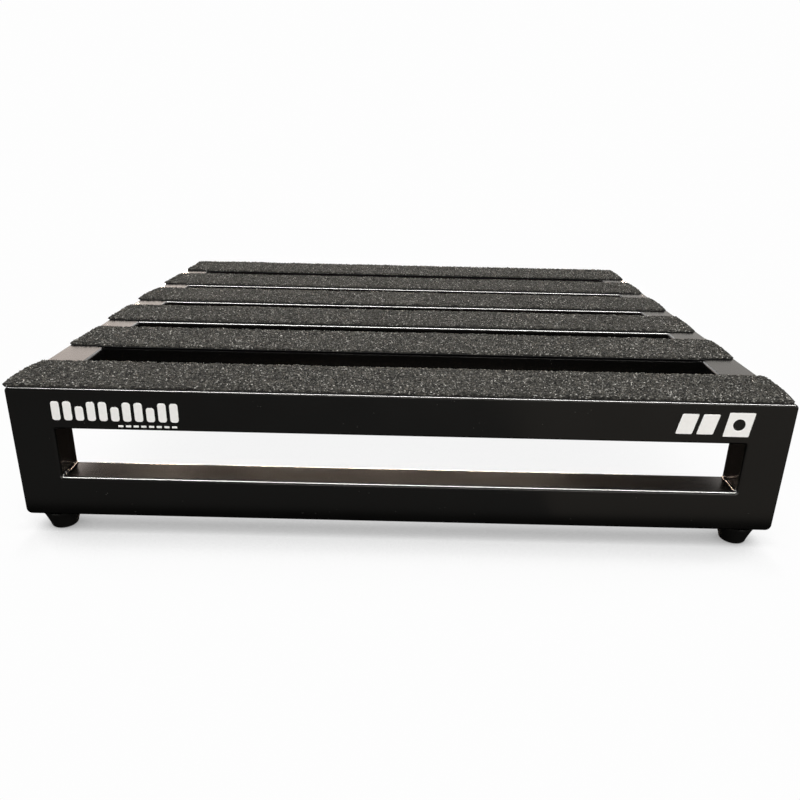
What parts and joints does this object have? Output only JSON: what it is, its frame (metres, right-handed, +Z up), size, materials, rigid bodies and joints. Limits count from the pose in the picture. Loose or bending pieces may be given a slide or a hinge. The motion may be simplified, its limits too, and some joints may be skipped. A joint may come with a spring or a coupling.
{
  "type": "pedalboard",
  "caption": "Low slatted floor board of welded square tube for guitar effect pedals, with loop-pile strips along the slats and rubber feet.",
  "frame": {"origin": "on the floor under the middle of the board", "axes": "+X to the right along the slats, +Y from the front to the rear, +Z up"},
  "size_m": [0.4572, 0.4064, 0.0978],
  "materials": {
    "powder_coat": "satin",
    "loop_pile": "matte",
    "rubber": "matte",
    "zinc_fastener": "satin"
  },
  "bodies": {
    "root": {"front_bar_left_cap": "powder_coat", "front_bar_right_cap": "powder_coat", "front_bottom_bar": "powder_coat", "front_left_foot": "rubber", "front_left_lower_weld": "powder_coat", "front_left_post": "powder_coat", "front_left_rivet_nut": "zinc_fastener", "front_left_screw": "zinc_fastener", "front_left_upper_weld": "powder_coat", "front_left_washer": "zinc_fastener", "front_rail": "powder_coat", "front_rail_left_cap": "powder_coat", "front_rail_right_cap": "powder_coat", "front_right_foot": "rubber", "front_right_lower_weld": "powder_coat", "front_right_post": "powder_coat", "front_right_rivet_nut": "zinc_fastener", "front_right_screw": "zinc_fastener", "front_right_upper_weld": "powder_coat", "front_right_washer": "zinc_fastener", "left_side_bar": "powder_coat", "loop_strip_1": "loop_pile", "loop_strip_2": "loop_pile", "loop_strip_3": "loop_pile", "loop_strip_4": "loop_pile", "loop_strip_5": "loop_pile", "loop_strip_6": "loop_pile", "rear_bar_left_cap": "powder_coat", "rear_bar_right_cap": "powder_coat", "rear_bottom_bar": "powder_coat", "rear_left_foot": "rubber", "rear_left_lower_weld": "powder_coat", "rear_left_post": "powder_coat", "rear_left_rivet_nut": "zinc_fastener", "rear_left_screw": "zinc_fastener", "rear_left_upper_weld": "powder_coat", "rear_left_washer": "zinc_fastener", "rear_rail": "powder_coat", "rear_rail_left_cap": "powder_coat", "rear_rail_right_cap": "powder_coat", "rear_right_foot": "rubber", "rear_right_lower_weld": "powder_coat", "rear_right_post": "powder_coat", "rear_right_rivet_nut": "zinc_fastener", "rear_right_screw": "zinc_fastener", "rear_right_upper_weld": "powder_coat", "rear_right_washer": "zinc_fastener", "right_side_bar": "powder_coat", "slat_2": "powder_coat", "slat_3": "powder_coat", "slat_4": "powder_coat", "slat_5": "powder_coat"}
  },
  "joints": []
}
